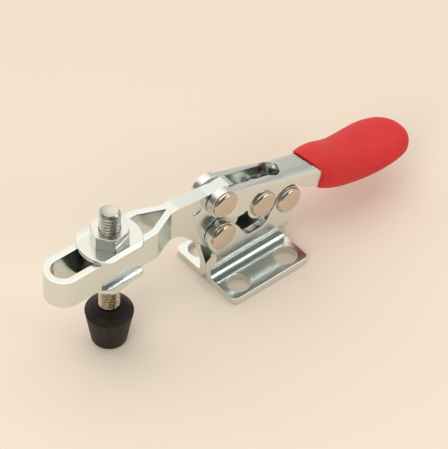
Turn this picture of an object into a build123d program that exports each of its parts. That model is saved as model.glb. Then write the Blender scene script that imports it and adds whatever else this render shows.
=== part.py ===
from build123d import *
import os
from math import atan2, copysign, cos, degrees, pi, radians, sin, tan

# A small horizontal toggle clamp: folded sheet base, U-slotted arm, channel lever with a soft grip,
# and a threaded spindle with a rubber tip.
# Millimetres, +Z up, +X from the arm's tip toward the grip. The origin is the centre of the base's
# underside, midway between its four bolt holes.

# ---- sheet and running fits -------------------------------------------------
sheet = 2.0                 # base and lever sheet
side_gap = 0.10             # between faces that slide past each other, each side
pin_fit = 0.05              # radial clearance of a shank or stud in a hole that moves on it

# ---- arm strip --------------------------------------------------------------
strip = 1.75                # thickness of the folded arm strip; two layers make the arm
arm_top = 31.7
arm_bottom = 23.6
loop_inner = 2.87           # half width of the arm's slot
loop_centre_x = -53.1       # centre of the round front end of the loop
slot_end_x = -23.8          # where the two layers meet

# ---- pivots (x, z) of the linkage in the locked position --------------------
arm_pivot = (-9.75, 17.0)
handle_pivot = (-9.5, 27.3)
link_front = (2.2, 20.1)
link_rear = (10.0, 16.4)

# ---- rivets -----------------------------------------------------------------
shank_r = 2.0
head_r = 3.45
head_h = 1.1
head_edge = 0.45
tail_head_r = 2.6           # the smaller heads on the far side
tail_head_h = 0.8

# ---- base -------------------------------------------------------------------
base_length = 22.8
base_width = 21.8
hole_pitch_x = 14.2
hole_pitch_y = 14.0
bolt_hole_r = 2.75
flange_corner = 1.5
bend_r = 0.6                # inside radius of the flange bend
joggle_low = 5.4            # the webs touch below this height
joggle_high = 9.3           # and stand apart above this one
web_corner_z = 10.1         # the ears begin to spread above the foot here
front_ear_r = 3.65
rear_ear_r = 3.70
valley_z = 12.2             # floor of the dip between the ears

# ---- lever ------------------------------------------------------------------
front_lobe_r = 3.8
link_lobe_r = 4.35
lever_top_drop = 0.315      # fall of the top edge per millimetre toward the grip
lever_top_at_origin = 27.6
lever_low_drop = 0.588
lever_low_at_origin = 25.96
roof_r = 2.2                # outer radius along the two top bends
roof_bends = [(-4.5, 0.3), (2.0, 1.0), (9.0, roof_r)]   # x along the lever, radius of the bends there
roof_slot_end = 9.6
roof_slot_r = 2.5

# ---- link plates ------------------------------------------------------------
link_t = 1.70
link_r = 3.3

# ---- grip -------------------------------------------------------------------
grip_wall = 0.9
grip_front_x = 19.2
grip_end_x = 49.18
grip_mouth_turn = 9.85      # degrees the mouth is skewed across the lever
grip_stations = [           # x, middle height, half height, half width, fullness of the section
    (16.5, 18.77, 4.6, 4.75, 3.0),
    (18.0, 18.20, 4.6, 4.75, 3.0),
    (24.0, 15.94, 4.9, 6.24, 2.6),
    (30.0, 13.91, 3.95, 6.92, 2.4),
    (36.0, 13.27, 3.3, 7.44, 2.4),
    (41.0, 13.18, 2.75, 7.40, 2.4),
]
grip_round_start = 40.84    # the round end begins here
grip_round_mid = 12.9
grip_round_height = 2.5     # half height and half width where it begins
grip_round_width = 7.42

# ---- spindle and its hardware -----------------------------------------------
spindle_x = -39.95
spindle_r = 2.5
spindle_top = 41.8
washer_t = 1.2
washer_r = 7.6
washer_flat = 6.2           # half width across the washer's two flats
washer_hole_r = 2.6
nut_flats = 8.0
nut_h = 3.6
tip_top = 9.35
tip_top_r = 5.73
tip_foot_r = 4.1
tip_crown = 11.4            # the rubber rises to this height round the stud
tip_crown_wall = 0.4
bolt_head_z = 4.4           # underside of the stud's head inside the rubber
bolt_head_h = 3.0
bolt_head_flats = 7.0

# ---- derived ----------------------------------------------------------------
arm_half = strip                            # half thickness of the closed arm
ear_inner = arm_half + side_gap             # inner faces of ears and lever cheeks
ear_outer = ear_inner + sheet
loop_outer = loop_inner + strip
half_length = base_length / 2
half_width = base_width / 2


def outline(corners):
    """Closed flat outline in (x, z) from corners (x, z, corner radius)."""
    turns = zip(corners, corners[1:] + corners[:1])
    if sum(a[0] * b[1] - b[0] * a[1] for a, b in turns) < 0:
        corners = corners[::-1]
    face = Polygon(*[(c[0], c[1]) for c in corners], align=None)
    for x, z, radius in corners:
        if radius > 0:
            near = [v for v in face.vertices() if abs(v.X - x) < 1e-4 and abs(v.Y - z) < 1e-4]
            face = fillet(near, radius)
    return face


def both_sides(corners):
    """Plan corners for +Y followed by the same ones for -Y, met on the centre line."""
    back = [(x, -y, radius) for x, y, radius in reversed(corners) if y > 0]
    return corners + back


def disc(centre, radius):
    """Flat disc in (x, z)."""
    return Pos(centre[0], centre[1]) * Circle(radius)


def slab(face, y_low, y_high):
    """An (x, z) outline made solid between two y planes."""
    return extrude(Plane.XZ.offset(-y_high) * face, amount=y_high - y_low)


def bore(centre, radius, reach=20.0):
    """Cutter along Y through a pivot."""
    return slab(disc(centre, radius), -reach, reach)


def mirrored(solid):
    """The same piece on the other side of the clamp."""
    return mirror(solid, about=Plane.XZ)


def lever_top(x):
    return lever_top_at_origin - lever_top_drop * x


def lever_low(x):
    return lever_low_at_origin - lever_low_drop * x


def base_section():
    """Flange, bend, low web, joggle and ear in (y, z), one thickness of sheet."""
    lean = atan2(ear_inner, joggle_high - joggle_low)
    shift = sheet * tan(lean / 2)
    top = arm_top
    return outline([
        (half_width, 0.0, 0.0),
        (half_width, sheet, 0.0),
        (sheet, sheet, bend_r),
        (sheet, joggle_low - shift, 1.0),
        (ear_outer, joggle_high - shift, 2.5),
        (ear_outer, top, 0.0),
        (ear_inner, top, 0.0),
        (ear_inner, joggle_high, 1.0),
        (0.0, joggle_low, 2.5),
        (0.0, 0.0, bend_r + sheet),
    ])


def base_profile():
    """Side view of one base half: foot, two ears and the dip between them."""
    ax, az = arm_pivot
    rx, rz = link_rear
    ear_toe = ax - front_ear_r * cos(radians(22))
    body = outline([
        (-half_length, -1.0, 0.0),
        (half_length, -1.0, 0.0),
        (half_length, web_corner_z, 3.0),
        (rx + rear_ear_r, rz, 0.0),
        (rx - rear_ear_r * 0.9, rz + rear_ear_r * 0.44, 0.0),
        (3.1, valley_z, 2.6),
        (-2.2, valley_z, 2.6),
        (-4.9, 17.0, 3.0),
        (ax + front_ear_r * 0.64, az + front_ear_r * 0.77, 0.0),
        (ax, az, 0.0),
        (ear_toe, az - front_ear_r * sin(radians(22)), 0.0),
        (-half_length, web_corner_z + 0.8, 3.0),
    ])
    return body + disc(arm_pivot, front_ear_r) + disc(link_rear, rear_ear_r)


def base_left():
    """Base half on the +Y side."""
    bent = extrude(Plane.YZ.offset(-20) * base_section(), amount=40)
    half = bent & slab(base_profile(), -1, half_width + 1)
    corners = [e for e in half.edges().filter_by(Axis.Z) if e.center().Y > half_width - 0.01]
    half = fillet(corners, flange_corner)
    for x in (-hole_pitch_x / 2, hole_pitch_x / 2):
        half -= Pos(x, hole_pitch_y / 2, 0) * Cylinder(bolt_hole_r, 4 * sheet)
    for pivot in (arm_pivot, link_rear):
        half -= bore(pivot, shank_r)
    return half


def arm_plan():
    """Plan of the folded strip: round loop, two legs, and the closed neck running back."""
    run = (loop_outer - arm_half) / 0.45
    neck_outer_x = slot_end_x + 0.4
    leg_end_x = neck_outer_x - run
    rear_x = arm_pivot[0] + 8.0
    inner_end_x = slot_end_x - loop_inner / 0.45
    plan = outline(both_sides([(loop_centre_x, loop_outer, 0.0), (leg_end_x, loop_outer, 2.5),
                               (neck_outer_x, arm_half, 2.0), (rear_x, arm_half, 0.0)]))
    space = outline(both_sides([(loop_centre_x, loop_inner, 0.0), (inner_end_x, loop_inner, 2.0),
                                (slot_end_x, 0.0, 0.0)]))
    plan = plan + Pos(loop_centre_x, 0) * Circle(loop_outer)
    space = space + Pos(loop_centre_x, 0) * Circle(loop_inner)
    return plan - space


def arm_profile():
    """Side view of the arm: straight bar, and a deep heel that carries both pivots."""
    ax, az = arm_pivot
    front = loop_centre_x - loop_outer - 1
    heel = 6.45
    body = outline([
        (front, arm_bottom, 0.0),
        (-25.5, arm_bottom, 6.0),
        (-20.5, arm_bottom - 1.4, 5.0),
        (ax - 5.2, az - 1.2, 3.0),
        (ax - 2.9, az - 3.7, 2.0),
        (ax + 3.4, az - 4.3, 2.0),
        (ax + heel, az - 0.6, 3.0),
        (ax + heel + 0.3, az + 9.0, 2.5),
        (ax + 4.6, az + 12.9, 3.0),
        (ax - 3.0, arm_top - 1.2, 3.0),
        (-21.5, arm_top, 6.0),
        (front, arm_top, 0.0),
    ])
    return body


def clamp_arm():
    """One strip folded into a U; its two layers lie together behind the slot."""
    blank = extrude(Pos(0, 0, -1) * arm_plan(), amount=45)
    arm = blank & slab(arm_profile(), -10, 10)
    for pivot in (arm_pivot, handle_pivot):
        arm -= bore(pivot, shank_r + pin_fit)
    dimple = (arm_pivot[0] - 6.15, 27.2)
    for side in (-1, 1):
        arm -= slab(disc(dimple, 1.25), *sorted((side * arm_half, side * (arm_half - 0.35))))
    return arm


def lever_profile():
    """Side view of the lever: front lobe, link lobe, and the shank that carries the grip."""
    hx, hz = handle_pivot
    tail_x = grip_end_x - 5.0
    body = outline([
        (hx, lever_top(hx), 0.0),
        (hx - 2.6, hz - 2.6, 0.0),
        (-5.2, 20.2, 1.5),
        (-2.6, 20.6, 1.0),
        (link_front[0], link_front[1] - link_lobe_r + 0.2, 0.0),
        (6.0, 18.0, 0.0),
        (10.2, lever_low(10.2), 0.0),
        (20.0, lever_low(20.0), 6.0),
        (30.0, 11.6, 6.0),
        (tail_x, 11.3, 1.0),
        (tail_x, 14.1, 1.0),
        (32.0, 16.2, 8.0),
        (23.5, lever_top(23.5), 0.0),
    ])
    body = body + disc(handle_pivot, front_lobe_r) + disc(link_front, link_lobe_r)
    return body - disc(link_rear, rear_ear_r + 0.5)


def roof_section(x, radius):
    """Tall section across the lever at one station, its two top corners bent to the given radius."""
    depth = 60.0
    plane = Plane(origin=(x, 0, lever_top(x)), x_dir=(0, 1, 0), z_dir=(1, 0, -lever_top_drop))
    section = Pos(0, -depth / 2) * Rectangle(2 * ear_outer, depth)
    return plane * fillet(section.vertices().sort_by(Axis.Y)[-2:], radius)


def roof_form():
    """Room for the lever: shoulders bent rounder along its straight top, square on the front lobe."""
    sections = [roof_section(x, radius) for x, radius in roof_bends]
    bent = loft(sections, ruled=True) + extrude(sections[-1], amount=60)
    lobe_room = Pos(roof_bends[0][0] - 20, 0, 20) * Box(40, 4 * ear_outer, 60)
    return bent + lobe_room


def handle_lever():
    """Sheet channel: two cheeks under a roof, slotted open over the arm."""
    blank = slab(lever_profile(), -ear_outer, ear_outer)
    inside = outline([
        (-20.0, 0.0, 0.0),
        (grip_end_x, 0.0, 0.0),
        (grip_end_x, 11.6, 0.0),
        (32.0, 16.2 - sheet, 6.0),
        (23.5, lever_top(23.5) - sheet, 8.0),
        (-20.0, lever_top(-20.0) - sheet, 0.0),
    ])
    lever = blank & roof_form()
    lever -= slab(inside, -ear_inner, ear_inner)
    slot = Pos(-20, 0, 0) * Rectangle(2 * (roof_slot_end - roof_slot_r) + 40, 2 * ear_inner)
    slot = slot + Pos(roof_slot_end - roof_slot_r, 0) * Circle(roof_slot_r)
    lever -= extrude(Pos(0, 0, 18.5) * slot, amount=20)
    for pivot in (handle_pivot, link_front):
        lever -= bore(pivot, shank_r)
    return lever


def link_plate(side):
    """Straight link with round ends; two lie side by side between the cheeks."""
    fx, fz = link_front
    rx, rz = link_rear
    length = ((rx - fx) ** 2 + (rz - fz) ** 2) ** 0.5
    tilt = degrees(atan2(rz - fz, rx - fx))
    mid = ((fx + rx) / 2, (fz + rz) / 2)
    face = Pos(*mid) * Rot(0, 0, tilt) * SlotCenterToCenter(length, 2 * link_r)
    y_low, y_high = sorted((side * 0.02, side * (0.02 + link_t)))
    plate = slab(face, y_low, y_high)
    plate -= bore(link_rear, shank_r + pin_fit)
    return plate - bore(link_front, shank_r + pin_fit)


def rivet_head(pivot, side):
    """Low round head lying on an outer face; side is -1 or +1, and the +1 head is the smaller."""
    radius, height = (head_r, head_h) if side < 0 else (tail_head_r, tail_head_h)
    head = slab(disc(pivot, radius), *sorted((side * ear_outer, side * (ear_outer + height))))
    rim = [e for e in head.edges().filter_by(GeomType.CIRCLE) if abs(e.center().Y) > ear_outer + height / 2]
    return fillet(rim, head_edge)


def rivet(pivot):
    """Solid rivet along Y with a head on each side."""
    pin = slab(disc(pivot, shank_r), -ear_outer, ear_outer)
    return pin + rivet_head(pivot, -1) + rivet_head(pivot, 1)


def open_rivet(pivot):
    """Both ends of a rivet, head and shank in each cheek; the span across the arm is left out."""
    ends = []
    for side in (-1, 1):
        stub = slab(disc(pivot, shank_r), *sorted((side * ear_inner, side * ear_outer)))
        ends.append(stub + rivet_head(pivot, side))
    return Compound(children=ends)


def spindle():
    """Threaded stud with a hexagon head that the rubber tip is moulded over."""
    length = spindle_top - bolt_head_z
    stud = Pos(spindle_x, 0, bolt_head_z + length / 2) * Cylinder(spindle_r, length)
    rim = stud.edges().filter_by(GeomType.CIRCLE).sort_by(Axis.Z)[-1]
    stud = chamfer(rim, 0.5)
    head = extrude(Pos(spindle_x, 0, bolt_head_z) * RegularPolygon(bolt_head_flats / 2, 6, major_radius=False),
                   bolt_head_h)
    return stud + head


def spindle_tip():
    """Rubber cone, wide at the top and rising to a low crown, moulded round the spindle's head."""
    crown_r = spindle_r + tip_crown_wall
    side = Polyline((0, 0), (tip_foot_r, 0), (tip_top_r, tip_top), (crown_r, tip_crown), (0, tip_crown), close=True)
    cone = revolve(make_face(Plane.XZ * side), Axis.Z)
    for height, radius in ((0.0, 0.6), (tip_top, 0.5)):
        rim = [e for e in cone.edges().filter_by(GeomType.CIRCLE) if abs(e.center().Z - height) < 1e-3]
        cone = fillet(rim, radius)
    return Pos(spindle_x, 0, 0) * cone - spindle()


def hex_nut(z_low):
    """Hexagon nut with chamfered corners, one corner turned off the arm's line."""
    turn = Rot(0, 0, 8.5)
    body = extrude(turn * RegularPolygon(nut_flats / 2, 6, major_radius=False), nut_h)
    round_r = nut_flats / 2 / cos(pi / 6)
    drum = Cylinder(round_r, nut_h, align=(Align.CENTER, Align.CENTER, Align.MIN))
    drum = chamfer(drum.edges().filter_by(GeomType.CIRCLE), 0.35)
    body = body & drum
    body -= Cylinder(spindle_r + pin_fit, 4 * nut_h)
    return Pos(spindle_x, 0, z_low) * body


def clamp_washer(z_low):
    """Round washer with two flats, bridging the arm's slot."""
    face = Circle(washer_r) & Rectangle(4 * washer_r, 2 * washer_flat)
    face -= Circle(washer_hole_r)
    plate = extrude(face, washer_t)
    return Pos(spindle_x, 0, z_low) * plate


def grip_section(x, middle, half_height, half, fullness):
    """Smooth closed section of the grip standing across the lever at one station."""
    points = []
    for step in range(24):
        turn = 2 * pi * step / 24
        across, up = cos(turn), sin(turn)
        y = half * copysign(abs(across) ** (2 / fullness), across)
        z = half_height * copysign(abs(up) ** (2 / fullness), up)
        points.append((x, y, middle + z))
    return make_face(Spline(*points, periodic=True))


def round_end():
    """Stations of the grip's round end, closing toward its tip."""
    reach = grip_end_x - grip_round_start
    stations = []
    for part in (0.50, 0.75, 0.90, 0.97, 0.995):
        half = grip_round_width * (1 - part ** 2) ** 0.5
        half_height = grip_round_height * (1 - part ** 3) ** 0.5
        stations.append((grip_round_start + part * reach, grip_round_mid, half_height, half, 2.4))
    return stations


def grip_mouth():
    """Everything behind the skewed front edge of the grip."""
    near = -(ear_outer + grip_wall)
    x = grip_front_x
    side = outline([(x - 0.7, 30.0, 0.0), (x - 0.7, 22.9, 1.0), (x + 0.5, 20.5, 2.0), (x + 1.5, 18.2, 1.5),
                    (x + 1.4, 16.9, 1.5), (x + 0.4, 15.2, 2.0), (x, 12.5, 0.0), (x, 5.0, 0.0),
                    (x + 45, 5.0, 0.0), (x + 45, 30.0, 0.0)])
    turn = Pos(x, near, 0) * Rot(0, 0, grip_mouth_turn) * Pos(-x, -near, 0)
    return turn * slab(side, -20, 20)


def eased_stations(stations, parts):
    """Stations filled in with evenly eased ones, so that the long sides run smoothly."""
    filled = []
    for i in range(len(stations) - 1):
        before, here = stations[max(i - 1, 0)], stations[i]
        there, after = stations[i + 1], stations[min(i + 2, len(stations) - 1)]
        span = there[0] - here[0]
        for step in range(parts):
            t = step / parts
            row = [here[0] + t * span]
            for k in range(1, 5):
                rise_here = (there[k] - before[k]) / (there[0] - before[0]) * span
                rise_there = (after[k] - here[k]) / (after[0] - here[0]) * span
                row.append((2 * t ** 3 - 3 * t ** 2 + 1) * here[k] + (t ** 3 - 2 * t ** 2 + t) * rise_here
                           + (3 * t ** 2 - 2 * t ** 3) * there[k] + (t ** 3 - t ** 2) * rise_there)
            filled.append(tuple(row))
    return filled + [stations[-1]]


def handle_grip(lever_form):
    """Soft sleeve over the lever's shank, widening into a flat round-ended paddle."""
    stations = eased_stations(grip_stations + round_end(), 3)
    form = loft([grip_section(*station) for station in stations], ruled=True)
    return (form & grip_mouth()) - lever_form


def lever_envelope():
    """The lever's outer form without its hollow, used as the grip's cavity."""
    return slab(lever_profile(), -ear_outer, ear_outer) & roof_form()


os.makedirs("parts", exist_ok=True)
left = base_left()
link_left = link_plate(1)
PIECES = {
    "base_left": left,
    "base_right": mirrored(left),
    "clamp_arm": clamp_arm(),
    "handle_lever": handle_lever(),
    "handle_grip": handle_grip(lever_envelope()),
    "toggle_link_left": link_left,
    "toggle_link_right": mirrored(link_left),
    "arm_pivot_rivet": rivet(arm_pivot),
    "handle_pivot_rivet": open_rivet(handle_pivot),
    "link_front_rivet": rivet(link_front),
    "link_rear_rivet": rivet(link_rear),
    "spindle": spindle(),
    "spindle_tip": spindle_tip(),
    "upper_nut": hex_nut(arm_top + washer_t),
    "lower_nut": hex_nut(arm_bottom - washer_t - nut_h),
    "upper_washer": clamp_washer(arm_top),
    "lower_washer": clamp_washer(arm_bottom - washer_t),
}
for name, shape in PIECES.items():
    export_step(shape, f"parts/{name}.step")
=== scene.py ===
"""Looks of a small horizontal toggle clamp: bright zinc sheet and fasteners, red vinyl grip, rubber tip."""
from math import atan2, cos, pi, radians, sin, tan

import bmesh
import bpy
from mathutils import Matrix, Vector
from mathutils.bvhtree import BVHTree


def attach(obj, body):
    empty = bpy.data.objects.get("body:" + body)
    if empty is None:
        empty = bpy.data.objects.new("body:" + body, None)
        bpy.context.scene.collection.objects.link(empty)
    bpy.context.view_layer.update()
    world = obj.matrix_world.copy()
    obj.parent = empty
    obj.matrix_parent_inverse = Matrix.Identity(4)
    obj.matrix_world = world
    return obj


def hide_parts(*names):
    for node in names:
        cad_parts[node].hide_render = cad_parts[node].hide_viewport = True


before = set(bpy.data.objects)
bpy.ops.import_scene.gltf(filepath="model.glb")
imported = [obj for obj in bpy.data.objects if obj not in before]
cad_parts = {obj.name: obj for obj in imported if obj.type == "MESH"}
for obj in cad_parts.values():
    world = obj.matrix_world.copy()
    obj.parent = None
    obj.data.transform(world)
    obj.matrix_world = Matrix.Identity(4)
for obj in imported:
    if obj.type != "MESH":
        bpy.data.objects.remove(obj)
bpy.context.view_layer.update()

MM = 0.001

# Places of the clamp's pieces, in the frame of the base
ARM_PIVOT = (-9.75 * MM, 17.0 * MM)
HANDLE_PIVOT = (-9.5 * MM, 27.3 * MM)
LINK_FRONT = (2.2 * MM, 20.1 * MM)
LINK_REAR = (10.0 * MM, 16.4 * MM)
SPINDLE_X = -39.95 * MM

# Cut edges eased by this much
SHEET_EASE = 0.22 * MM
LINK_EASE = 0.15 * MM
WASHER_EASE = 0.20 * MM
NUT_EASE = 0.12 * MM

# Rivets
EAR_OUTER = 3.85 * MM
EAR_INNER = 1.85 * MM
HEAD_RADIUS = 3.45 * MM
HEAD_HEIGHT = 1.10 * MM
HEAD_EDGE = 0.85 * MM
HEAD_DOME = 0.05 * MM
TAIL_RADIUS = 2.6 * MM
TAIL_HEIGHT = 0.80 * MM
TAIL_EDGE = 0.40 * MM
SHANK_RADIUS = 2.0 * MM

# Threaded stud
STUD_RADIUS = 2.5 * MM
STUD_FOOT = 7.0 * MM
STUD_TOP = 41.8 * MM
THREAD_PITCH = 0.90 * MM
THREAD_DEPTH = 0.52 * MM
STUD_CHAMFER = 0.55 * MM

# Rubber tip: its dish and rim underneath, and how far its crown is tucked under the thread
TIP_TOP = 9.35 * MM
TIP_TOP_RADIUS = 5.73 * MM
TIP_FOOT_RADIUS = 4.1 * MM
TIP_CROWN = 11.4 * MM
TIP_CROWN_RADIUS = 2.9 * MM
TIP_DISH = 0.25 * MM
TIP_DISH_SLOPE = 0.2 * MM
TIP_RIM = 1.4 * MM
TIP_TUCK = 0.7 * MM

# Washers: where their strips beyond the arm's sides begin, and how much these lean toward the arm
STRIP_START = 4.85 * MM
STRIP_LEAN = 0.17

# Grip: its wall over the lever's sides, how near the lever counts as touching, and how far what touches
# is pressed in; then the front edge on the near side as (height, place), its skew, and how its lip thins
GRIP_WALL = 0.9 * MM
GRIP_HALF = EAR_OUTER + GRIP_WALL
TOUCHING = 0.02 * MM
GRIP_SQUEEZE = 0.5 * MM
MOUTH_LINE = [(12.5 * MM, 19.2 * MM), (15.2 * MM, 19.6 * MM), (16.9 * MM, 20.5 * MM), (18.2 * MM, 20.5 * MM),
              (20.5 * MM, 19.7 * MM), (22.9 * MM, 18.5 * MM)]
MOUTH_SKEW = 0.174
LIP_LENGTH = 2.6 * MM
LIP_THINNING = 0.55

# Camera: turn about the upright, rise above the floor, roll, place and lens
CAMERA_TURN = radians(-41.4)
CAMERA_RISE = radians(46.406)
CAMERA_ROLL = radians(2.146)
CAMERA_DISTANCE = 871.0417 * MM
CAMERA_SIDE = 15.8992 * MM
CAMERA_UP = 19.56 * MM
CAMERA_AIM_X = -26.2408 * MM
CAMERA_LENS = 301.6


# ---------- nodes ----------

def add(tree, kind, inputs=None, **settings):
    """A new node with its settings; an input is a value or the socket that feeds it."""
    node = tree.nodes.new(kind)
    for name, value in settings.items():
        setattr(node, name, value)
    for name, value in (inputs or {}).items():
        if isinstance(value, bpy.types.NodeSocket):
            tree.links.new(value, node.inputs[name])
        else:
            node.inputs[name].default_value = value
    return node


def sums(tree, operation, first, second=0.0, third=0.0):
    """The result of one Math node."""
    node = add(tree, "ShaderNodeMath", {0: first, 1: second, 2: third}, operation=operation)
    return node.outputs[0]


def stretch(tree, value, low, high, to_low=0.0, to_high=1.0):
    """A value mapped from one range to another and held inside it."""
    node = add(tree, "ShaderNodeMapRange", {"Value": value, "From Min": low, "From Max": high,
                                            "To Min": to_low, "To Max": to_high}, clamp=True)
    return node.outputs["Result"]


def blend_colour(tree, factor, first, second):
    """Two colours mixed by a factor."""
    node = add(tree, "ShaderNodeMix", data_type="RGBA", clamp_factor=True)
    for name, value in (("Factor_Float", factor), ("A_Color", first), ("B_Color", second)):
        socket = next(s for s in node.inputs if s.identifier == name)
        if isinstance(value, bpy.types.NodeSocket):
            tree.links.new(value, socket)
        else:
            socket.default_value = value
    return next(s for s in node.outputs if s.identifier == "Result_Color")


def colour(red, green, blue):
    """An opaque colour."""
    return (red, green, blue, 1.0)


def new_group(name, kind, inputs, outputs):
    """An empty node group with named inputs (name, socket type, value) and outputs (name, socket type)."""
    group = bpy.data.node_groups.new(name, kind)
    for label, socket_type, value in inputs:
        socket = group.interface.new_socket(label, in_out="INPUT", socket_type=socket_type)
        if value is not None:
            socket.default_value = value
    for label, socket_type in outputs:
        group.interface.new_socket(label, in_out="OUTPUT", socket_type=socket_type)
    return group, group.nodes.new("NodeGroupInput"), group.nodes.new("NodeGroupOutput")


FLOAT = "NodeSocketFloat"


def surface_grain_group():
    """Fine uneven surface of plating, vinyl or rubber."""
    tree, given, out = new_group("Surface grain", "ShaderNodeTree",
                                 [("Size per metre", FLOAT, 900.0), ("Roughness of grain", FLOAT, 0.6)],
                                 [("Grain", FLOAT), ("Height", FLOAT)])
    place = add(tree, "ShaderNodeTexCoord")
    fine = add(tree, "ShaderNodeTexNoise", {"Vector": place.outputs["Object"],
                                            "Scale": given.outputs["Size per metre"], "Detail": 5.0,
                                            "Roughness": given.outputs["Roughness of grain"]})
    tree.links.new(stretch(tree, fine.outputs["Fac"], 0.3, 0.7), out.inputs["Grain"])
    tree.links.new(fine.outputs["Fac"], out.inputs["Height"])
    return tree


def edge_wear_and_highlight_group():
    """Rounded edges painted bright, as a painted highlight and as rubbing wear, broken up along their length.
    """
    tree, given, out = new_group("Edge wear and painted highlight", "ShaderNodeTree",
                                 [("Amount", FLOAT, 0.5), ("Break per metre", FLOAT, 400.0)],
                                 [("Wear and highlight", FLOAT)])
    place = add(tree, "ShaderNodeTexCoord")
    edge = add(tree, "ShaderNodeAttribute", attribute_name="edge", attribute_type="GEOMETRY")
    broken = add(tree, "ShaderNodeTexNoise", {"Vector": place.outputs["Object"],
                                              "Scale": given.outputs["Break per metre"], "Detail": 3.0})
    patches = stretch(tree, broken.outputs["Fac"], 0.35, 0.60, 0.25, 1.0)
    wear_and_highlight = sums(tree, "MULTIPLY", edge.outputs["Fac"], patches)
    tree.links.new(sums(tree, "MULTIPLY", wear_and_highlight, given.outputs["Amount"]), out.inputs["Wear and highlight"])
    return tree


def handling_marks_group():
    """Cloudy film and short fine scratches left by handling."""
    tree, given, out = new_group("Handling marks", "ShaderNodeTree",
                                 [("Clouds per metre", FLOAT, 90.0), ("Scratches per metre", FLOAT, 260.0)],
                                 [("Film", FLOAT), ("Scratch", FLOAT), ("Height", FLOAT)])
    place = add(tree, "ShaderNodeTexCoord")
    clouds = add(tree, "ShaderNodeTexNoise", {"Vector": place.outputs["Object"],
                                              "Scale": given.outputs["Clouds per metre"], "Detail": 4.0,
                                              "Distortion": 0.6})
    lay = add(tree, "ShaderNodeMapping", {"Vector": place.outputs["Object"], "Rotation": (0.3, 0.5, 0.4),
                                          "Scale": (1.0, 9.0, 6.0)})
    lines = add(tree, "ShaderNodeTexNoise", {"Vector": lay.outputs["Vector"],
                                             "Scale": given.outputs["Scratches per metre"], "Detail": 6.0,
                                             "Roughness": 0.7})
    scratch = stretch(tree, lines.outputs["Fac"], 0.60, 0.74)
    tree.links.new(stretch(tree, clouds.outputs["Fac"], 0.3, 0.72), out.inputs["Film"])
    tree.links.new(scratch, out.inputs["Scratch"])
    tree.links.new(sums(tree, "MULTIPLY", scratch, -1.0), out.inputs["Height"])
    return tree


GRAIN = surface_grain_group()
WEAR_AND_HIGHLIGHT = edge_wear_and_highlight_group()
MARKS = handling_marks_group()


def new_material(name):
    """A material with its Principled shader joined to the output."""
    material = bpy.data.materials.new(name)
    material.use_nodes = True
    tree = material.node_tree
    tree.nodes.clear()
    shader = tree.nodes.new("ShaderNodeBsdfPrincipled")
    end = tree.nodes.new("ShaderNodeOutputMaterial")
    tree.links.new(shader.outputs["BSDF"], end.inputs["Surface"])
    return material, tree, shader


def use_group(tree, group, **inputs):
    """One of the shared groups placed in a material with its own values."""
    node = add(tree, "ShaderNodeGroup", node_tree=group)
    for name, value in inputs.items():
        node.inputs[name.replace("_", " ")].default_value = value
    return node


def raise_surface(tree, shader, height, strength, distance):
    """The shader's normal bumped by a height."""
    bump = add(tree, "ShaderNodeBump", {"Height": height, "Strength": strength, "Distance": distance})
    tree.links.new(bump.outputs["Normal"], shader.inputs["Normal"])


def plated_metal(name, bright, dull, rough, grain_size=1500.0, wear=0.5, mottled=0.05):
    """Bright plated steel: cloudy film, fine grain, small scratches, and edges painted brighter as a painted
    highlight and as rubbing wear.
    """
    material, tree, shader = new_material(name)
    grain = use_group(tree, GRAIN, Size_per_metre=grain_size, Roughness_of_grain=0.65)
    wear_and_highlight = use_group(tree, WEAR_AND_HIGHLIGHT, Amount=wear, Break_per_metre=500.0)
    marks = use_group(tree, MARKS, Clouds_per_metre=110.0, Scratches_per_metre=420.0)
    film = sums(tree, "MULTIPLY", marks.outputs["Film"], mottled * 6)
    base = blend_colour(tree, film, bright, dull)
    # edges painted brighter: a painted highlight along the rounded edges, and rubbing wear
    rubbed = colour(*(min(1.0, c * 1.12) for c in bright[:3]))
    tree.links.new(blend_colour(tree, wear_and_highlight.outputs["Wear and highlight"], base, rubbed), shader.inputs["Base Color"])
    rough_film = sums(tree, "MULTIPLY_ADD", marks.outputs["Film"], mottled, rough)
    rough_grain = sums(tree, "MULTIPLY_ADD", grain.outputs["Grain"], 0.015, rough_film)
    rough_all = sums(tree, "MULTIPLY_ADD", marks.outputs["Scratch"], 0.03, rough_grain)
    tree.links.new(rough_all, shader.inputs["Roughness"])
    height = sums(tree, "MULTIPLY_ADD", marks.outputs["Height"], 0.5, grain.outputs["Height"])
    raise_surface(tree, shader, height, 0.02, 0.00002)
    shader.inputs["Metallic"].default_value = 1.0
    return material


def stud_metal():
    """Plated stud, pale at its free end and brassier towards the tip, with painted shade in the thread's
    roots.
    """
    material, tree, shader = new_material("Stud plating")
    place = add(tree, "ShaderNodeTexCoord")
    parts = add(tree, "ShaderNodeSeparateXYZ", {"Vector": place.outputs["Object"]})
    height = stretch(tree, parts.outputs["Z"], 0.020, 0.027)
    marks = use_group(tree, MARKS, Clouds_per_metre=200.0, Scratches_per_metre=700.0)
    grain = use_group(tree, GRAIN, Size_per_metre=2500.0)
    tint = blend_colour(tree, height, colour(0.62, 0.53, 0.36), colour(0.62, 0.63, 0.58))
    # painted shade in the thread's roots, darker the deeper the groove
    root = add(tree, "ShaderNodeAttribute", attribute_name="root", attribute_type="GEOMETRY")
    painted_root_shade = sums(tree, "MULTIPLY", root.outputs["Fac"], 0.55)
    shade = blend_colour(tree, painted_root_shade, tint, colour(0.18, 0.15, 0.11))
    tree.links.new(shade, shader.inputs["Base Color"])
    rough = sums(tree, "MULTIPLY_ADD", marks.outputs["Film"], 0.12, 0.20)
    grained = sums(tree, "MULTIPLY_ADD", grain.outputs["Grain"], 0.05, rough)
    tree.links.new(grained, shader.inputs["Roughness"])
    raise_surface(tree, shader, grain.outputs["Height"], 0.05, 0.00003)
    shader.inputs["Metallic"].default_value = 1.0
    return material


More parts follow.
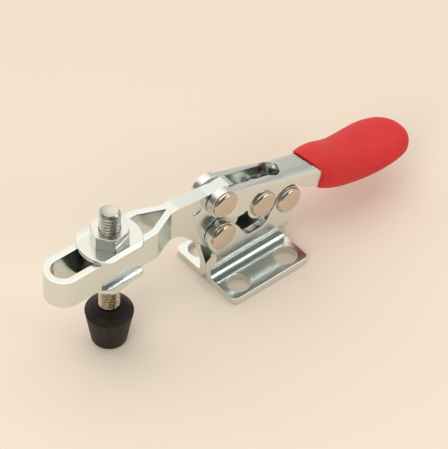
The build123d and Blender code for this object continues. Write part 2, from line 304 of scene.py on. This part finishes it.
def moulded_vinyl():
    """Soft red vinyl with a fine leathery grain, rubbed a little paler and smoother in patches."""
    material, tree, shader = new_material("Red vinyl")
    grain = use_group(tree, GRAIN, Size_per_metre=2600.0, Roughness_of_grain=0.55)
    marks = use_group(tree, MARKS, Clouds_per_metre=130.0, Scratches_per_metre=350.0)
    place = add(tree, "ShaderNodeTexCoord")
    cells = add(tree, "ShaderNodeTexVoronoi", {"Vector": place.outputs["Object"], "Scale": 2400.0},
                feature="SMOOTH_F1")
    tone = blend_colour(tree, marks.outputs["Film"], colour(0.70, 0.036, 0.036), colour(0.62, 0.030, 0.031))
    dusty = sums(tree, "MULTIPLY", marks.outputs["Scratch"], 0.10)
    tree.links.new(blend_colour(tree, dusty, tone, colour(0.75, 0.20, 0.17)), shader.inputs["Base Color"])
    rough = sums(tree, "MULTIPLY_ADD", marks.outputs["Film"], -0.10, 0.52)
    grained = sums(tree, "MULTIPLY_ADD", grain.outputs["Grain"], 0.08, rough)
    tree.links.new(grained, shader.inputs["Roughness"])
    height = sums(tree, "MULTIPLY_ADD", cells.outputs["Distance"], 0.6, grain.outputs["Height"])
    raise_surface(tree, shader, height, 0.18, 0.00012)
    shader.inputs["Specular IOR Level"].default_value = 0.22
    return material


def moulded_rubber():
    """Dark satin rubber, a little brown, with grey dust and faint moulding grain."""
    material, tree, shader = new_material("Black rubber")
    grain = use_group(tree, GRAIN, Size_per_metre=2200.0, Roughness_of_grain=0.6)
    marks = use_group(tree, MARKS, Clouds_per_metre=220.0, Scratches_per_metre=500.0)
    wear_and_highlight = use_group(tree, WEAR_AND_HIGHLIGHT, Amount=0.5, Break_per_metre=700.0)
    tone = blend_colour(tree, marks.outputs["Film"], colour(0.012, 0.008, 0.0065),
                        colour(0.018, 0.012, 0.010))
    # rounded edges painted lighter: a painted highlight along them, and rubbing wear
    rubbed = blend_colour(tree, wear_and_highlight.outputs["Wear and highlight"], tone, colour(0.040, 0.030, 0.024))
    dusty = sums(tree, "MULTIPLY", marks.outputs["Scratch"], 0.18)
    tree.links.new(blend_colour(tree, dusty, rubbed, colour(0.07, 0.06, 0.05)), shader.inputs["Base Color"])
    rough = sums(tree, "MULTIPLY_ADD", marks.outputs["Film"], 0.14, 0.40)
    grained = sums(tree, "MULTIPLY_ADD", grain.outputs["Grain"], 0.08, rough)
    tree.links.new(grained, shader.inputs["Roughness"])
    raise_surface(tree, shader, grain.outputs["Height"], 0.12, 0.0001)
    shader.inputs["Specular IOR Level"].default_value = 0.20
    return material


SHEET_ZINC = plated_metal("Sheet zinc", colour(0.75, 0.785, 0.755), colour(0.67, 0.705, 0.67), 0.16)
NUT_ZINC = plated_metal("Nut and washer zinc", colour(0.73, 0.75, 0.715), colour(0.63, 0.64, 0.60), 0.15,
                        grain_size=2200.0, mottled=0.05)
RIVET_STEEL = plated_metal("Rivet steel", colour(0.66, 0.575, 0.475), colour(0.54, 0.455, 0.365), 0.18,
                           grain_size=2600.0, wear=0.5, mottled=0.08)
STUD_PLATING = stud_metal()
RED_VINYL = moulded_vinyl()
BLACK_RUBBER = moulded_rubber()


# ---------- meshes ----------

def mesh_of(form, name):
    """A form's faces as a new mesh; the form itself is done with."""
    mesh = bpy.data.meshes.new(name)
    form.to_mesh(mesh)
    form.free()
    return mesh


def add_object(name, mesh):
    """An object at the origin that carries a finished mesh."""
    obj = bpy.data.objects.new(name, mesh)
    bpy.context.scene.collection.objects.link(obj)
    return obj


def settle(obj):
    """The object's modifiers turned into its plain mesh."""
    bpy.context.view_layer.update()
    graph = bpy.context.evaluated_depsgraph_get()
    mesh = bpy.data.meshes.new_from_object(obj.evaluated_get(graph))
    obj.modifiers.clear()
    obj.data = mesh
    return obj


def stand_for(obj, body, slot, material, *nodes):
    """A finished piece takes its body, finish and the place of the nodes it stands for."""
    obj.data.materials.clear()
    obj.data.materials.append(material)
    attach(obj, body)
    if nodes:
        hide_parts(*nodes)
    return obj


def merged_copy(node):
    """The node's surface as one closed mesh with its flat faces whole."""
    form = bmesh.new()
    form.from_mesh(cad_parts[node].data)
    bmesh.ops.remove_doubles(form, verts=form.verts, dist=1e-6)
    bmesh.ops.dissolve_degenerate(form, dist=1e-6, edges=form.edges)
    bmesh.ops.dissolve_limit(form, angle_limit=radians(0.6), verts=form.verts, edges=form.edges)
    return form


def eased_piece(node, width, from_angle=32.0):
    """A sheet or turned piece with its outer edges rounded over; the rounded faces are marked for a painted
    highlight and wear.
    """
    form = merged_copy(node)
    layer = form.faces.layers.float.new("edge")
    sharp = [edge for edge in form.edges
             if edge.is_manifold and edge.is_convex and edge.calc_face_angle() > radians(from_angle)]
    eased = bmesh.ops.bevel(form, geom=sharp, offset=width, offset_type="OFFSET", segments=2, profile=0.5,
                            affect="EDGES", clamp_overlap=False)
    for face in eased["faces"]:
        face[layer] = 1.0
    for face in form.faces:
        face.smooth = True
    for edge in form.edges:
        edge.smooth = not edge.is_manifold or edge.calc_face_angle() < radians(38.0)
    name = node + "_finish"
    obj = add_object(name, mesh_of(form, name))
    weigh = obj.modifiers.new("Even shading", "WEIGHTED_NORMAL")
    weigh.keep_sharp = True
    return settle(obj)


def turned_piece(name, profile, centre, turns=64):
    """A round piece turned about an upright axis; its profile is points of (radius, height, mark for painted
    highlight and wear).
    """
    form = bmesh.new()
    layer = form.faces.layers.float.new("edge")
    rings = []
    for radius, height, wear_and_highlight in profile:
        if radius < 1e-7:
            rings.append([form.verts.new((centre[0], centre[1], height))])
            continue
        ring = [form.verts.new((centre[0] + radius * cos(2 * pi * k / turns),
                                centre[1] + radius * sin(2 * pi * k / turns), height)) for k in range(turns)]
        rings.append(ring)
    for index, (low, high) in enumerate(zip(rings, rings[1:])):
        for k in range(turns):
            j = (k + 1) % turns
            corners = [low[k % len(low)], low[j % len(low)], high[j % len(high)], high[k % len(high)]]
            face = form.faces.new(list(dict.fromkeys(corners)))
            face.smooth = True
            face[layer] = profile[index][2]
    bmesh.ops.recalc_face_normals(form, faces=form.faces)
    return add_object(name, mesh_of(form, name))


def rounded(before, corner, after, radius, steps, wear_and_highlight=1.0):
    """Points of a turned profile that round one of its corners; the corner's neighbours are not included."""
    first = Vector(before) - Vector(corner)
    second = Vector(after) - Vector(corner)
    first.normalize()
    second.normalize()
    half = first.angle(second) / 2
    middle = Vector(corner) + (first + second).normalized() * (radius / sin(half))
    start = Vector(corner) + first * (radius / tan(half)) - middle
    sweep = start.angle_signed(Vector(corner) + second * (radius / tan(half)) - middle)
    points = []
    for k in range(steps + 1):
        angle = atan2(start.y, start.x) - sweep * k / steps
        points.append((middle.x + radius * cos(angle), middle.y + radius * sin(angle), wear_and_highlight))
    return points


# ---------- geometry node trees ----------

def wrapped_grid(tree, turns, steps):
    """A grid to be wrapped round an axis: its geometry, the angle round and the share along."""
    grid = add(tree, "GeometryNodeMeshGrid", {"Size X": 1.0, "Size Y": 1.0, "Vertices X": turns + 1,
                                              "Vertices Y": steps + 1})
    here = add(tree, "GeometryNodeInputPosition")
    place = add(tree, "ShaderNodeSeparateXYZ", {"Vector": here.outputs["Position"]})
    angle = sums(tree, "MULTIPLY_ADD", place.outputs["X"], 2 * pi, pi)
    along = sums(tree, "ADD", place.outputs["Y"], 0.5)
    return grid.outputs["Mesh"], angle, along


def keep_value(tree, geometry, name, value):
    """The geometry with a named value stored on its points."""
    node = add(tree, "GeometryNodeStoreNamedAttribute", {"Geometry": geometry, "Name": name},
               data_type="FLOAT", domain="POINT")
    socket = next(s for s in node.inputs if s.name == "Value" and s.enabled)
    tree.links.new(value, socket)
    return node.outputs["Geometry"]


def wrap(tree, geometry, radius, angle, height, upright):
    """The grid wrapped to a radius and height at each angle, its seam and poles closed."""
    across = sums(tree, "MULTIPLY", radius, sums(tree, "COSINE", angle))
    other = sums(tree, "MULTIPLY", radius, sums(tree, "SINE", angle))
    if upright:
        place = add(tree, "ShaderNodeCombineXYZ", {"X": across, "Y": other, "Z": height})
    else:
        place = add(tree, "ShaderNodeCombineXYZ", {"X": across, "Y": sums(tree, "MULTIPLY", height, -1.0),
                                                   "Z": other})
    moved = add(tree, "GeometryNodeSetPosition", {"Geometry": geometry, "Position": place.outputs["Vector"]})
    closed = add(tree, "GeometryNodeMergeByDistance", {"Geometry": moved.outputs["Geometry"],
                                                       "Distance": 2e-6})
    smooth = add(tree, "GeometryNodeSetShadeSmooth", {"Geometry": closed.outputs["Geometry"]})
    return smooth.outputs["Geometry"]


def finish_tree(tree, given, out, geometry, label):
    """Instances made real and the finish set, as every tree ends."""
    real = add(tree, "GeometryNodeRealizeInstances", {"Geometry": geometry})
    coated = add(tree, "GeometryNodeSetMaterial", {"Geometry": real.outputs["Geometry"],
                                                   "Material": given.outputs["Finish"]})
    tree.links.new(coated.outputs["Geometry"], out.inputs[label])


def rivet_tree():
    """Rivet heads, each with its part of the shank, one on every point and facing the side kept there."""
    inputs = [("Pivots", "NodeSocketGeometry", None), ("Head radius", FLOAT, HEAD_RADIUS),
              ("Head height", FLOAT, HEAD_HEIGHT), ("Rounded edge", FLOAT, HEAD_EDGE),
              ("Dome", FLOAT, HEAD_DOME), ("Shank radius", FLOAT, SHANK_RADIUS),
              ("Shank length", FLOAT, EAR_OUTER), ("Finish", "NodeSocketMaterial", None)]
    tree, given, out = new_group("Rivet heads", "GeometryNodeTree", inputs,
                                 [("Rivets", "NodeSocketGeometry")])
    size = given.outputs
    turns, steps = 56, 40
    grid, angle, along = wrapped_grid(tree, turns, steps)
    crown = stretch(tree, along, 0.0, 0.30)
    edge = stretch(tree, along, 0.30, 0.60)
    side = stretch(tree, along, 0.60, 0.70)
    under = stretch(tree, along, 0.70, 0.80)
    shank = stretch(tree, along, 0.80, 0.95)
    end = stretch(tree, along, 0.95, 1.0)
    turn = sums(tree, "MULTIPLY", edge, pi / 2)
    flat_radius = sums(tree, "SUBTRACT", size["Head radius"], size["Rounded edge"])
    radius = sums(tree, "MULTIPLY", flat_radius, crown)
    radius = sums(tree, "MULTIPLY_ADD", sums(tree, "SINE", turn), size["Rounded edge"], radius)
    step_in = sums(tree, "SUBTRACT", size["Head radius"], size["Shank radius"])
    radius = sums(tree, "SUBTRACT", radius, sums(tree, "MULTIPLY", step_in, under))
    radius = sums(tree, "SUBTRACT", radius, sums(tree, "MULTIPLY", size["Shank radius"], end))
    dome = sums(tree, "MULTIPLY", sums(tree, "MULTIPLY", crown, crown), size["Dome"])
    height = sums(tree, "SUBTRACT", size["Head height"], dome)
    drop = sums(tree, "SUBTRACT", 1.0, sums(tree, "COSINE", turn))
    height = sums(tree, "SUBTRACT", height, sums(tree, "MULTIPLY", drop, size["Rounded edge"]))
    wall = sums(tree, "SUBTRACT", size["Head height"], size["Rounded edge"])
    wall = sums(tree, "SUBTRACT", wall, size["Dome"])
    height = sums(tree, "SUBTRACT", height, sums(tree, "MULTIPLY", wall, side))
    height = sums(tree, "SUBTRACT", height, sums(tree, "MULTIPLY", size["Shank length"], shank))
    # the rounded edge marked for a painted highlight and wear, strongest midway round it
    rub_and_highlight = sums(tree, "MULTIPLY", sums(tree, "MULTIPLY", edge, sums(tree, "SUBTRACT", 1.0, edge)), 4.0)
    head = wrap(tree, keep_value(tree, grid, "edge", rub_and_highlight), radius, angle, height, False)
    facing = add(tree, "GeometryNodeInputNamedAttribute", {"Name": "side"}, data_type="FLOAT")
    behind = sums(tree, "GREATER_THAN", facing.outputs["Attribute"], 0.0)
    spin = add(tree, "ShaderNodeCombineXYZ", {"Z": sums(tree, "MULTIPLY", behind, pi)})
    placed = add(tree, "GeometryNodeInstanceOnPoints", {"Points": size["Pivots"], "Instance": head,
                                                        "Rotation": spin.outputs["Vector"]})
    finish_tree(tree, given, out, placed.outputs["Instances"], "Rivets")
    return tree


def thread_tree():
    """A threaded stud: its surface wound round the axis, the thread run out into a chamfer at the top."""
    inputs = [("Start", "NodeSocketGeometry", None), ("Radius", FLOAT, STUD_RADIUS),
              ("Foot height", FLOAT, STUD_FOOT), ("Top height", FLOAT, STUD_TOP),
              ("Pitch", FLOAT, THREAD_PITCH), ("Thread depth", FLOAT, THREAD_DEPTH),
              ("Chamfer", FLOAT, STUD_CHAMFER), ("Finish", "NodeSocketMaterial", None)]
    tree, given, out = new_group("Threaded stud", "GeometryNodeTree", inputs,
                                 [("Stud", "NodeSocketGeometry")])
    size = given.outputs
    turns, steps = 44, 420
    grid, angle, along = wrapped_grid(tree, turns, steps)
    share = stretch(tree, along, 1.0 / steps, 1.0 - 1.0 / steps)
    length = sums(tree, "SUBTRACT", size["Top height"], size["Foot height"])
    height = sums(tree, "MULTIPLY_ADD", share, length, size["Foot height"])
    wound = sums(tree, "DIVIDE", angle, 2 * pi)
    phase = sums(tree, "SUBTRACT", sums(tree, "DIVIDE", height, size["Pitch"]), wound)
    saw = sums(tree, "FRACT", sums(tree, "ADD", phase, 100.0))
    ridge = sums(tree, "ABSOLUTE", sums(tree, "MULTIPLY_ADD", saw, 2.0, -1.0))
    groove = stretch(tree, ridge, 0.14, 0.88)
    radius = sums(tree, "SUBTRACT", size["Radius"], sums(tree, "MULTIPLY", groove, size["Thread depth"]))
    free_radius = sums(tree, "SUBTRACT", size["Radius"], size["Chamfer"])
    below_top = sums(tree, "SUBTRACT", size["Top height"], height)
    radius = sums(tree, "MINIMUM", radius, sums(tree, "ADD", free_radius, below_top))
    inside = sums(tree, "MULTIPLY", sums(tree, "GREATER_THAN", along, 0.5 / steps),
                  sums(tree, "LESS_THAN", along, 1.0 - 0.5 / steps))
    radius = sums(tree, "MULTIPLY", radius, inside)
    low_place = sums(tree, "MULTIPLY", groove, inside)
    stud = wrap(tree, keep_value(tree, grid, "root", low_place), radius, angle, height, True)
    placed = add(tree, "GeometryNodeInstanceOnPoints", {"Points": size["Start"], "Instance": stud})
    finish_tree(tree, given, out, placed.outputs["Instances"], "Stud")
    return tree


def run_tree(tree, points, values, sides):
    """The mesh that a tree gives on a few points."""
    seed = bpy.data.meshes.new("points")
    seed.from_pydata(points, [], [])
    kept = seed.attributes.new("side", "FLOAT", "POINT")
    for index, value in enumerate(sides):
        kept.data[index].value = value
    obj = add_object("points", seed)
    modifier = obj.modifiers.new("Form", "NODES")
    modifier.node_group = tree
    for item in tree.interface.items_tree:
        if item.item_type == "SOCKET" and item.in_out == "INPUT" and item.name in values:
            modifier[item.identifier] = values[item.name]
    mesh = settle(obj).data
    bpy.data.objects.remove(obj)
    return mesh


def grown(name, tree, runs, body, slot, material, nodes, sharp=40.0):
    """A tree run on one or more sets of points, made one plain mesh that stands for the given nodes."""
    form = bmesh.new()
    for points, sides, values in runs:
        form.from_mesh(run_tree(tree, points, {"Finish": material, **values}, sides))
    bmesh.ops.recalc_face_normals(form, faces=form.faces)
    mesh = mesh_of(form, name)
    mesh.set_sharp_from_angle(angle=radians(sharp))
    return stand_for(add_object(name, mesh), body, slot, material, *nodes)


# ---------- the clamp's pieces ----------

def dress_sheet():
    """Base halves, clamping arm, links and lever: sheet with its cut edges eased."""
    bodies = {"base_left": "base", "base_right": "base", "clamp_arm": "arm", "toggle_link_left": "link",
              "toggle_link_right": "link", "handle_lever": "lever"}
    for node, body in bodies.items():
        width = LINK_EASE if node.startswith("toggle") else SHEET_EASE
        stand_for(eased_piece(node, width), body, "zinc_sheet", SHEET_ZINC, node)


def lean_flats(obj, drop):
    """A washer's two overhanging strips leaned toward the arm; drop is their fall per metre of width."""
    form = bmesh.new()
    form.from_mesh(obj.data)
    for side in (-1.0, 1.0):
        whole = form.verts[:] + form.edges[:] + form.faces[:]
        bmesh.ops.bisect_plane(form, geom=whole, dist=1e-7, plane_co=(0.0, side * STRIP_START, 0.0),
                               plane_no=(0.0, 1.0, 0.0))
    for vert in form.verts:
        vert.co.z -= drop * max(0.0, abs(vert.co.y) - STRIP_START)
    for edge in form.edges:
        if all(abs(abs(vert.co.y) - STRIP_START) < 1e-6 for vert in edge.verts):
            edge.smooth = False
    form.to_mesh(obj.data)
    form.free()
    return obj


def dress_washers_and_nuts():
    """Washers and nuts of the spindle, their edges eased; the washers' strips lean a little over the arm."""
    for node, width, drop in (("upper_washer", WASHER_EASE, STRIP_LEAN),
                              ("lower_washer", WASHER_EASE, -STRIP_LEAN),
                              ("upper_nut", NUT_EASE, 0.0), ("lower_nut", NUT_EASE, 0.0)):
        piece = eased_piece(node, width, from_angle=22.0)
        if drop:
            piece = lean_flats(piece, drop)
        stand_for(piece, "carrier", "zinc_hardware", NUT_ZINC, node)


def make_rivets():
    """Four pivots, each with a broad round head on the near side and a smaller one on the far side."""
    tree = rivet_tree()
    tail = {"Head radius": TAIL_RADIUS, "Head height": TAIL_HEIGHT, "Rounded edge": TAIL_EDGE}
    stub = {"Shank length": EAR_OUTER - EAR_INNER}
    sets = [("base_rivets", "base", (ARM_PIVOT, LINK_REAR), {}, ("arm_pivot_rivet", "link_rear_rivet")),
            ("link_front_rivet_finish", "lever", (LINK_FRONT,), {}, ("link_front_rivet",)),
            ("handle_rivet_finish", "lever", (HANDLE_PIVOT,), stub, ("handle_pivot_rivet",))]
    for name, body, pivots, length, nodes in sets:
        near = [(x, -EAR_OUTER, z) for x, z in pivots]
        far = [(x, EAR_OUTER, z) for x, z in pivots]
        runs = [(near, [-1.0] * len(near), length), (far, [1.0] * len(far), {**tail, **length})]
        grown(name, tree, runs, body, "rivet_steel", RIVET_STEEL, nodes)


def make_stud():
    """Threaded stud of the spindle."""
    grown("threaded_stud", thread_tree(), [([(SPINDLE_X, 0.0, 0.0)], [0.0], {})], "spindle", "zinc_hardware",
          STUD_PLATING, ("spindle",), sharp=28.0)


def make_tip():
    """Rubber cone moulded on the stud's foot, wide end up and rising to a low crown round the stud."""
    foot = (TIP_FOOT_RADIUS, 0.0)
    rim = (TIP_TOP_RADIUS, TIP_TOP)
    shoulder = ((TIP_TOP_RADIUS + TIP_CROWN_RADIUS) / 2, (TIP_TOP + TIP_CROWN) / 2 + 0.16 * MM)
    crown = (TIP_CROWN_RADIUS, TIP_CROWN)
    inner = (STUD_RADIUS - TIP_TUCK, TIP_CROWN - 0.1 * MM)
    dish_edge = TIP_FOOT_RADIUS - TIP_RIM
    # the third value of each point marks rounded edges for a painted highlight and wear
    profile = [(0.0, TIP_DISH, 0.0), (dish_edge - TIP_DISH_SLOPE, TIP_DISH, 0.0), (dish_edge, 0.0, 0.0)]
    profile += rounded((0.0, 0.0), foot, rim, 0.6 * MM, 7)
    profile += rounded(foot, rim, shoulder, 0.5 * MM, 7)
    profile += rounded(rim, shoulder, crown, 2.0 * MM, 4, 0.0)
    profile += rounded(shoulder, crown, inner, 0.22 * MM, 4, 0.3)
    profile += [(*inner, 0.0), (0.0, TIP_CROWN - 0.2 * MM, 0.0)]
    tip = turned_piece("rubber_tip", profile, (SPINDLE_X, 0.0), turns=72)
    stand_for(tip, "spindle", "black_rubber", BLACK_RUBBER, "spindle_tip")


def mouth_place(y, z):
    """How far back the grip's skewed front edge lies at one place across the lever."""
    line = MOUTH_LINE
    height = min(max(z, line[0][0]), line[-1][0])
    for (low, back_low), (high, back_high) in zip(line, line[1:]):
        if height <= high:
            share = (height - low) / (high - low)
            return back_low + share * (back_high - back_low) - MOUTH_SKEW * (y + GRIP_HALF)
    return line[-1][1] - MOUTH_SKEW * (y + GRIP_HALF)


def make_grip():
    """Vinyl sleeve with soft, dipped edges, stretched tight over the lever."""
    form = merged_copy("handle_grip")
    lever = bmesh.new()
    lever.from_mesh(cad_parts["handle_lever"].data)
    metal = BVHTree.FromBMesh(lever)
    for vert in form.verts:
        _, normal, _, distance = metal.find_nearest(vert.co)
        if distance < TOUCHING:
            vert.co -= normal * GRIP_SQUEEZE
    grip = add_object("vinyl_grip", mesh_of(form, "vinyl_grip"))
    remesh = grip.modifiers.new("Skin", "REMESH")
    remesh.mode = "VOXEL"
    remesh.voxel_size = 0.20 * MM
    remesh.use_smooth_shade = True
    soften = grip.modifiers.new("Soften", "SMOOTH")
    soften.factor = 0.5
    soften.iterations = 10
    settle(grip)
    for vert in grip.data.vertices:
        behind = vert.co.x - mouth_place(vert.co.y, vert.co.z)
        thinned = max(0.0, 1.0 - max(0.0, behind) / LIP_LENGTH)
        near = metal.find_nearest(vert.co)[0]
        vert.co = vert.co.lerp(near, LIP_THINNING * thinned ** 2)
    lever.free()
    stand_for(grip, "lever", "red_grip", RED_VINYL, "handle_grip")


# ---------- stage ----------

def make_floor():
    """Plain pale table under the clamp."""
    material, tree, shader = new_material("Pale table")
    place = add(tree, "ShaderNodeTexCoord")
    clouds = add(tree, "ShaderNodeTexNoise", {"Vector": place.outputs["Object"], "Scale": 9.0, "Detail": 2.0})
    tone = blend_colour(tree, clouds.outputs["Fac"], colour(0.865, 0.765, 0.655), colour(0.845, 0.74, 0.63))
    tree.links.new(tone, shader.inputs["Base Color"])
    shader.inputs["Roughness"].default_value = 0.75
    shader.inputs["Specular IOR Level"].default_value = 0.2
    mesh = bpy.data.meshes.new("table")
    reach = 3.0
    corners = [(-reach, -reach, 0.0), (reach, -reach, 0.0), (reach, reach, 0.0), (-reach, reach, 0.0)]
    mesh.from_pydata(corners, [], [(0, 1, 2, 3)])
    mesh.materials.append(material)
    add_object("table", mesh)


def aim(obj, place, target):
    """The object at a place, its -Z axis towards the target."""
    obj.location = place
    obj.rotation_euler = (Vector(target) - Vector(place)).to_track_quat("-Z", "Y").to_euler()


def make_lamp(name, place, target, size, power, tint):
    """One soft rectangular lamp."""
    lamp = bpy.data.lights.new(name, "AREA")
    lamp.shape = "RECTANGLE"
    lamp.size, lamp.size_y = size
    lamp.energy = power
    lamp.color = tint
    obj = bpy.data.objects.new(name, lamp)
    bpy.context.scene.collection.objects.link(obj)
    aim(obj, place, target)
    return obj


def make_light():
    """A white tent round the clamp, dim at the viewer's side, a lamp on the left and one low in front."""
    fill = make_lamp("left softbox", (-0.62, -0.30, 0.55), (-0.02, 0.0, 0.02), (0.6, 0.6), 3.0,
                     (1.0, 0.97, 0.92))
    fill.visible_glossy = False
    make_lamp("front strip", (0.375, -0.615, 0.345), (0.0, 0.0, 0.01), (0.36, 0.14), 1.0,
              (1.0, 0.99, 0.97))
    world = bpy.data.worlds.new("Studio tent")
    bpy.context.scene.world = world
    world.use_nodes = True
    tree = world.node_tree
    tree.nodes.clear()
    place = add(tree, "ShaderNodeTexCoord")
    side = add(tree, "ShaderNodeVectorMath", {0: place.outputs["Generated"], 1: (0.0, -0.85, 0.527)},
               operation="DOT_PRODUCT")
    viewer = stretch(tree, side.outputs["Value"], 0.62, 0.80)
    parts = add(tree, "ShaderNodeSeparateXYZ", {"Vector": place.outputs["Generated"]})
    right = stretch(tree, parts.outputs["X"], 0.55, 0.85)
    left = stretch(tree, parts.outputs["X"], -0.40, -0.68)
    open_end = blend_colour(tree, right, colour(1.0, 0.965, 0.90), colour(0.47, 0.46, 0.43))
    tent = blend_colour(tree, left, open_end, colour(0.20, 0.195, 0.18))
    above = stretch(tree, parts.outputs["Z"], 0.74, 0.90)
    tent = blend_colour(tree, above, tent, colour(1.30, 1.25, 1.16))
    tone = blend_colour(tree, viewer, tent, colour(0.07, 0.075, 0.08))
    room = add(tree, "ShaderNodeBackground", {"Color": tone, "Strength": 1.20})
    add(tree, "ShaderNodeOutputWorld", {"Surface": room.outputs["Background"]})


def make_camera():
    """Camera at the clamp's usual three-quarter view, from its tip end."""
    turn, rise, roll = CAMERA_TURN, CAMERA_RISE, CAMERA_ROLL
    back = Vector((sin(turn) * cos(rise), -cos(turn) * cos(rise), sin(rise)))
    level = Vector((cos(turn), sin(turn), 0.0))
    up = back.cross(level)
    right = cos(roll) * level + sin(roll) * up
    above = cos(roll) * up - sin(roll) * level
    place = (CAMERA_SIDE * right + CAMERA_UP * above + CAMERA_DISTANCE * back
             + Vector((CAMERA_AIM_X, 0.0, 0.0)))
    lens = bpy.data.cameras.new("camera")
    lens.lens = CAMERA_LENS
    lens.sensor_width = 36.0
    lens.clip_start = 0.01
    camera = bpy.data.objects.new("camera", lens)
    camera.matrix_world = Matrix.Translation(place) @ Matrix((right, above, back)).transposed().to_4x4()
    bpy.context.scene.collection.objects.link(camera)
    bpy.context.scene.camera = camera


dress_sheet()
dress_washers_and_nuts()
make_rivets()
make_stud()
make_tip()
make_grip()
make_floor()
make_light()
make_camera()
bpy.context.scene.view_settings.view_transform = "Standard"
